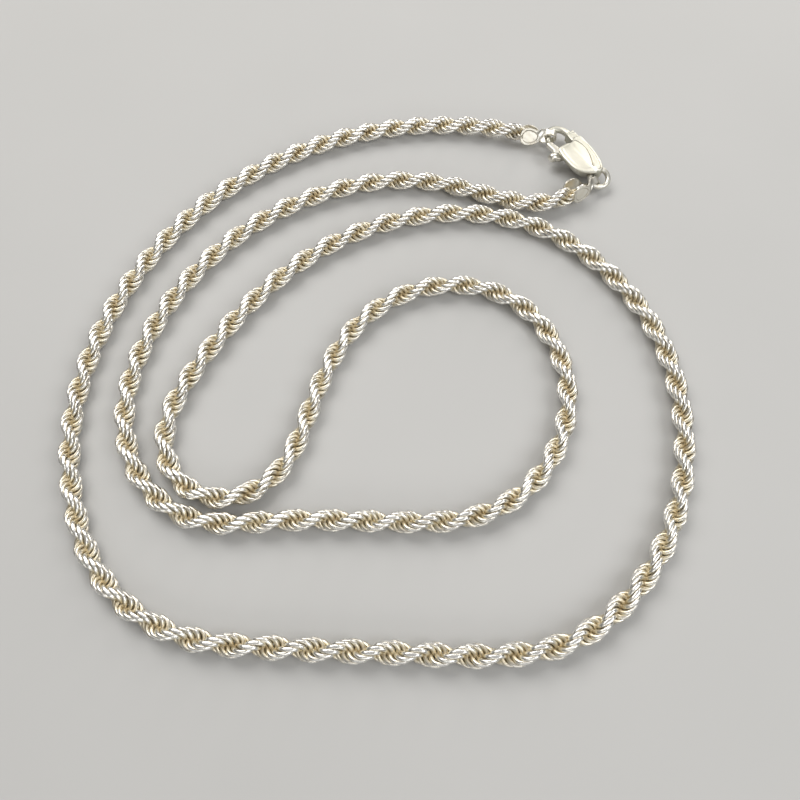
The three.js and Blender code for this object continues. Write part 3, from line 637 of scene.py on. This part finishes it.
v, q, painted_line_shade = clasp_body()
body = make_mesh("clasp_shell", clasp_to_world(v), q[:, ::-1], SATIN, attributes={"painted_groove_shade": painted_line_shade})
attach(body, "clasp_body")
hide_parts("clasp_body")


def clasp_lever():
    lo, hi = (-4.1, -0.6, 0.4), (2.1, 5.0, 2.6)
    x, y, z = grid(lo, hi, 0.045)
    a2 = poly2(x, y, straight(ARM))
    d = extrude(a2, z, LEVER_Z - 0.43, LEVER_Z + 0.43, 0.2)
    knob = np.sqrt(((x + 3.02) / 0.94) ** 2 + (y - 1.8) ** 2 + ((z - LEVER_Z) / 1.06) ** 2) * 0.95 - 0.64
    neck = tube(x, y, z, [[-2.85, 1.75, LEVER_Z], [-1.7, 1.25, LEVER_Z]], [0.5, 0.42])
    d = join(join(d, neck, 0.3), knob, 0.3)
    d = cut(d, np.sqrt((x - PIN_AT[1]) ** 2 + (y - PIN_AT[0]) ** 2) - (PIN_R + 0.07), 0.02)
    v, q = surface(d, lo, 0.045)
    return relax(v, q, 2), q


v, q = clasp_lever()
lever = make_mesh("clasp_trigger", clasp_to_world(v), q[:, ::-1], POLISHED)
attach(lever, "clasp_lever")
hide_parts("clasp_lever")


def clasp_spring():
    lo, hi = (-0.3, -2.2, 0.9), (1.7, -0.4, 2.1)
    spring = [[-0.62, 1.35], [-1.55, 1.2], [-1.95, 0.5], [-1.5, -0.15], [-0.75, -0.05], [-0.75, 0.12], [-1.42, 0.02], [-1.76, 0.5], [-1.44, 1.05], [-0.62, 1.18]]
    x, y, z = grid(lo, hi, 0.03)
    d = extrude(poly2(x, y, straight(spring)), z, LEVER_Z - 0.35, LEVER_Z + 0.35, 0.03)
    v, q = surface(d, lo, 0.03)
    return relax(v, q, 1), q


v, q = clasp_spring()
spring = make_mesh("clasp_leaf_spring", clasp_to_world(v), q[:, ::-1], STEEL)
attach(spring, "clasp_body")
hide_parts("clasp_spring")


def lathe(profile, n=36):
    """Closed solid of revolution about z from [radius, z] points, first and last on the axis."""
    vs, fs = [[0, 0, profile[0][1]]], []
    for r, z in profile[1:-1]:
        for i in range(n):
            w = 2 * math.pi * i / n
            vs.append([r * math.cos(w), r * math.sin(w), z])
    vs.append([0, 0, profile[-1][1]])
    m = len(profile) - 2
    at = lambda k, i: 1 + k * n + i % n
    for i in range(n):
        fs.append((0, at(0, i + 1), at(0, i), 0))
        fs.append((len(vs) - 1, at(m - 1, i), at(m - 1, i + 1), len(vs) - 1))
        for k in range(m - 1):
            fs.append((at(k, i), at(k, i + 1), at(k + 1, i + 1), at(k + 1, i)))
    return np.array(vs, float), fs


# rivet pin: shank with slightly domed ends, level with the face of the cheeks
vs, fs = lathe([[0, 0.325], [0.2, 0.33], [0.31, 0.36], [0.345, 0.42], [0.345, 2.74], [0.31, 2.80], [0.2, 2.83], [0, 2.835]])
me = bpy.data.meshes.new("clasp_rivet")
vs[:, 0] += PIN_AT[1]
vs[:, 1] += PIN_AT[0]
me.from_pydata([tuple(p / 1000) for p in clasp_to_world(vs)], [], [f[:3] if f[3] == f[0] else f for f in fs])
me.polygons.foreach_set("use_smooth", np.ones(len(me.polygons), bool))
me.materials.append(SATIN)
rivet = bpy.data.objects.new("clasp_rivet", me)
bpy.context.scene.collection.objects.link(rivet)
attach(rivet, "clasp_body")
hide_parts("clasp_pin")

# ---------------------------------------------------------------- jump ring
u_dir, v_dir = to_world(1, 0, 0) - to_world(0, 0, 0), to_world(0, 1, 0) - to_world(0, 0, 0)
ring_up = u_dir * math.cos(tilt) + np.array([0, 0, math.sin(tilt)])
ring_normal = np.cross(v_dir, ring_up)
ring_centre = to_world(TAIL_U, TAIL_V, TAIL_Z) - ring_up * RING_R


def jump_ring(n=120, m=24):
    vs = []
    for i in range(n):
        w = 2 * math.pi * i / n
        rad = math.cos(w) * v_dir + math.sin(w) * ring_up
        seam = math.exp(-(((w - 5.6) / 0.10) ** 2))            # soldered joint, slightly proud and uneven
        wire = RING_WIRE * (1 + 0.045 * seam + 0.008 * math.sin(5 * w + 1) + 0.006 * math.sin(11 * w))
        c = ring_centre + RING_R * (1 + 0.006 * math.sin(2 * w + 0.4)) * rad
        for j in range(m):
            p = 2 * math.pi * j / m
            flat = 1 - 0.05 * max(0.0, math.cos(p)) ** 4        # worn a little on the outside
            vs.append(c + wire * flat * (math.cos(p) * rad + math.sin(p) * ring_normal))
    fs = [(i * m + j, ((i + 1) % n) * m + j, ((i + 1) % n) * m + (j + 1) % m, i * m + (j + 1) % m) for i in range(n) for j in range(m)]
    return np.array(vs), np.array(fs)


v, q = jump_ring()
ring = make_mesh("jump_ring_wire", v, q, POLISHED)
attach(ring, "jump_ring")
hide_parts("jump_ring")

# ---------------------------------------------------------------- folded end caps
def cap_points(roll):
    """One folded cap: x from the leaf edge to the fold, y across the two leaves, z along the width of the strip."""
    y1, r1 = CAP_GAP / 2, CAP_FOLD_R
    r2 = r1 + CAP_T
    y2 = y1 + CAP_T
    xc = CAP_LEN - r2
    h = 0.045
    lo, hi = (-0.3, -2.0, -1.6), (6.3, 2.0, 1.6)
    x, y, z = grid(lo, hi, h)
    half = [[0, y2], [0.6, y2], [1.2, y2], [1.8, y2], [2.4, y2], [2.9, y2 - 0.06], [3.4, y2 - 0.2], [3.9, r2 + 0.16], [4.4, r2 + 0.05]]
    mid = [[a, b - CAP_T / 2] for a, b in half]
    arc = [[xc + (r2 - CAP_T / 2) * math.cos(w), (r2 - CAP_T / 2) * math.sin(w)] for w in np.linspace(math.pi / 2, -math.pi / 2, 25)]
    line = np.array(mid + arc + [[a, -b] for a, b in reversed(mid)])
    fine = catmull(line, 160)
    d2 = np.full(np.broadcast(x, y).shape, 1e9)
    for a, b in zip(fine[:-1], fine[1:]):
        e = b - a
        wx, wy = x - a[0], y - a[1]
        t = np.clip((wx * e[0] + wy * e[1]) / (e @ e), 0, 1)
        d2 = np.minimum(d2, np.sqrt((wx - e[0] * t) ** 2 + (wy - e[1] * t) ** 2))
    strip = d2 - CAP_T / 2 + 0.005
    w, nw = CAP_W / 2, CAP_NECK_W / 2
    top = [[0.02, 0.3], [0.12, 0.7], [0.42, 1.08], [0.9, w - 0.06], [1.45, w], [2.05, w - 0.12], [2.65, w - 0.36], [3.2, nw + 0.3], [3.8, nw + 0.08], [4.4, nw], [5.2, nw], [CAP_LEN + 0.5, nw]]
    side = catmull(top, 60)
    outline = np.vstack([side, side[::-1] * [1, -1]])
    o2 = poly2(x, z, outline)
    r = 0.09
    a, b = strip + r, o2 + r
    d = np.minimum(np.maximum(a, b), 0) + np.sqrt(np.maximum(a, 0) ** 2 + np.maximum(b, 0) ** 2) - r
    rec = [[0.36, 0], [0.52, 0.5], [0.92, 0.86], [1.45, 0.97], [2.05, 0.84], [2.6, 0.5], [2.85, 0]]
    rec = loop([[s, p] for p, s in rec] + [[-s, p] for p, s in rec[-2:0:-1]], 8)
    r2d = poly2(x, z, rec)
    wob = 0.006 * np.sin(5 * x + 2 * z) * np.sin(4 * z - x)
    for side_y in (1, -1):
        floor = (y2 - 0.105 + wob - side_y * y)
        d = cut(d, np.maximum(r2d, floor), 0.09)
    v, q = surface(d, lo, h)
    v = relax(v, q, 2)
    # painted shade round the rim of the recess in each leaf
    painted_line_shade = 0.9 * np.exp(-(((poly2(v[:, 0], v[:, 2], rec) + 0.03) / 0.055) ** 2)) * smooth(np.abs(v[:, 1]), y2 - 0.2, y2 - 0.1)
    f = smooth(v[:, 0], 2.5, 4.5)
    a = np.radians(roll) * (1 - f)
    c, s = np.cos(a), np.sin(a)
    return np.stack([v[:, 0], c * v[:, 1] - s * v[:, 2], s * v[:, 1] + c * v[:, 2]], axis=1), q, painted_line_shade


def place_cap(name, rope_end, around, past, axis, leaf_width):
    x = around - rope_end
    x /= np.linalg.norm(x)
    around = around + x * past
    z = axis - x * (axis @ x)
    z /= np.linalg.norm(z)
    y = np.cross(z, x)
    lw = np.array(leaf_width, float)
    lw -= x * (lw @ x)
    lw /= np.linalg.norm(lw)
    roll = math.degrees(math.atan2(-(lw @ y), lw @ z))
    v, q, painted_line_shade = cap_points(roll)
    mouth = around - x * (CAP_LEN - CAP_FOLD_R - CAP_T)
    w = mouth + v[:, :1] * x + v[:, 1:2] * y + v[:, 2:3] * z
    ob = make_mesh(name + "_strip", w, q[:, ::-1], POLISHED, attributes={"painted_groove_shade": painted_line_shade})
    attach(ob, name)
    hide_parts(name)


ring_at = lambda deg: ring_centre + RING_R * (math.cos(math.radians(deg)) * v_dir + math.sin(math.radians(deg)) * ring_up)
hang = math.radians(192)
ring_tangent = math.sin(hang) * v_dir - math.cos(hang) * ring_up
place_cap("end_cap_b", frame_at(ROPE_L)[0], ring_at(192), 0.2, ring_tangent, (0.1, 0.342, 0.94))
place_cap("end_cap_a", frame_at(0)[0], to_world(*HOOK_HANG, HOOK_Z), 0.45, to_world(0.75, 0.65, 0) - to_world(0, 0, 0), (0, 0.53, 0.85))

# ---------------------------------------------------------------- floor, light, camera
floor_mat = Nodes("floor")
speck = floor_mat.noise(0.02, 3.0)
floor_mat.finish(floor_mat.mix(speck, (0.50, 0.497, 0.485), (0.54, 0.535, 0.525)), 0.75, metallic=0.0)
me = bpy.data.meshes.new("floor")
me.from_pydata([(-3, -3, 0), (3, -3, 0), (3, 3, 0), (-3, 3, 0)], [], [(0, 1, 2, 3)])
me.materials.append(floor_mat.mat)
floor = bpy.data.objects.new("floor", me)
bpy.context.scene.collection.objects.link(floor)
floor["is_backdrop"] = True

world = bpy.data.worlds.new("studio")
bpy.context.scene.world = world
world.use_nodes = True
wt = world.node_tree
bg = next(n for n in wt.nodes if n.type == "BACKGROUND")
co = wt.nodes.new("ShaderNodeTexCoord")
sep = wt.nodes.new("ShaderNodeSeparateXYZ")
ramp = wt.nodes.new("ShaderNodeValToRGB")
wt.links.new(co.outputs["Generated"], sep.inputs[0])
wt.links.new(sep.outputs["Z"], ramp.inputs["Fac"])
wt.links.new(ramp.outputs["Color"], bg.inputs["Color"])
stops = [(0.0, 0.10), (0.12, 0.10), (0.42, 0.22), (0.62, 0.62), (1.0, 0.75)]
ramp.color_ramp.elements[0].position, ramp.color_ramp.elements[1].position = stops[0][0], stops[-1][0]
for pos, _ in stops[1:-1]:
    ramp.color_ramp.elements.new(pos)
for e, (pos, val) in zip(ramp.color_ramp.elements, stops):
    e.position = pos
    e.color = (val, val * 0.985, val * 0.96, 1)
bg.inputs["Strength"].default_value = 0.55


def lamp(name, at, aim, size, size_y, watts, color=(1, 1, 1)):
    data = bpy.data.lights.new(name, "AREA")
    data.shape = "RECTANGLE"
    data.size, data.size_y, data.energy, data.color = size, size_y, watts, color
    ob = bpy.data.objects.new(name, data)
    ob.location = at
    ob.rotation_euler = (Vector(aim) - Vector(at)).to_track_quat("-Z", "Y").to_euler()
    bpy.context.scene.collection.objects.link(ob)
    return ob


lamp("key", (-0.16, 0.30, 0.42), (0, 0, 0), 0.44, 0.34, 1.9, (1.0, 0.985, 0.96))
lamp("fill", (0.34, -0.16, 0.36), (0, 0, 0), 0.30, 0.30, 0.9, (0.96, 0.98, 1.0))
lamp("front", (0.02, -0.42, 0.22), (0.01, 0.0, 0), 0.40, 0.16, 0.45, (1.0, 0.99, 0.97))
lamp("rim", (0.26, 0.36, 0.20), (0, 0, 0), 0.10, 0.30, 0.6, (1.0, 0.97, 0.93))

cam = bpy.data.cameras.new("view")
cam.sensor_width, cam.lens = 36.0, 31.5
cam.clip_start, cam.clip_end = 0.001, 20
camera = bpy.data.objects.new("view", cam)
down, rho = math.radians(64.3), math.radians(-2.96)
fwd = Vector((0, math.cos(down), -math.sin(down)))
up0 = Vector((0, math.sin(down), math.cos(down)))
right0 = Vector((1, 0, 0))
right = right0 * math.cos(rho) + up0 * math.sin(rho)
up = up0 * math.cos(rho) - right0 * math.sin(rho)
camera.matrix_world = Matrix.Translation((0.003436, -0.049386, 0.086466)) @ Matrix((right, up, -fwd)).transposed().to_4x4()
bpy.context.scene.collection.objects.link(camera)
bpy.context.scene.camera = camera
bpy.context.scene.view_settings.view_transform = "Standard"

lo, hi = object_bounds()
